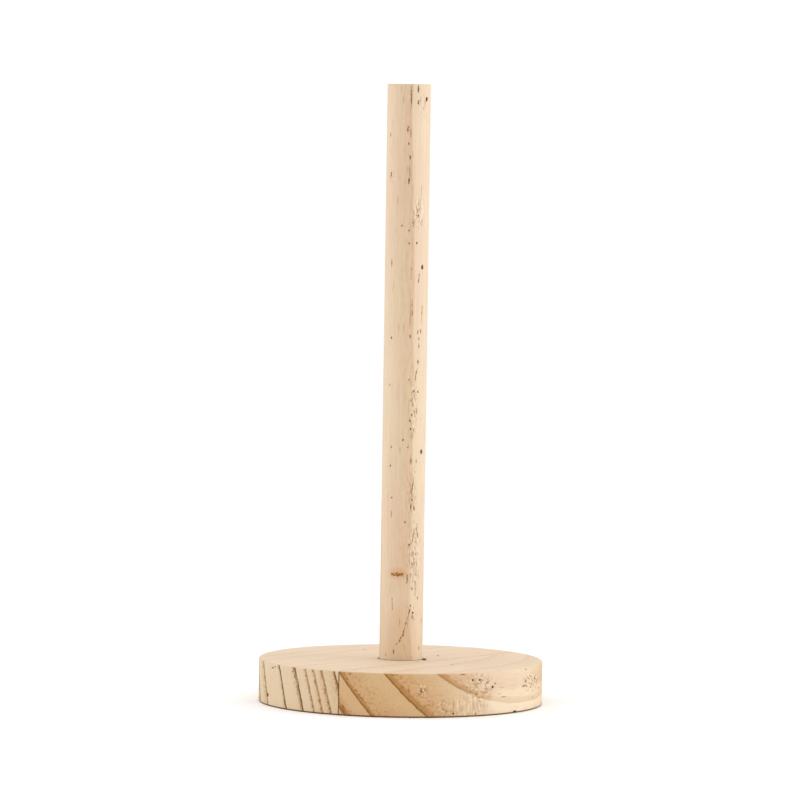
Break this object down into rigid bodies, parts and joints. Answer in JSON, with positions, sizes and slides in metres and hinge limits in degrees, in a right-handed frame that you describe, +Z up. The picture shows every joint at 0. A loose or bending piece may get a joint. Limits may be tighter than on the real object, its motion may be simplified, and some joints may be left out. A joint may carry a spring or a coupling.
{
  "type": "hair tie holder",
  "caption": "Upright wooden dowel post in a round wooden base of glued boards, for stacking hair ties, bracelets or rolls.",
  "frame": {"origin": "middle of the round base's underside, on the surface the holder stands on", "axes": "+Z up along the post; -Y towards the front as pictured, +X to the right"},
  "size_m": [0.13, 0.13, 0.283],
  "materials": {
    "pine_board": "matte",
    "pine_dowel": "matte",
    "zinc_plated_steel": "satin"
  },
  "bodies": {
    "root": {"base_back_board": "pine_board", "base_front_board": "pine_board", "post": "pine_dowel", "base_screw": "zinc_plated_steel"}
  },
  "joints": []
}
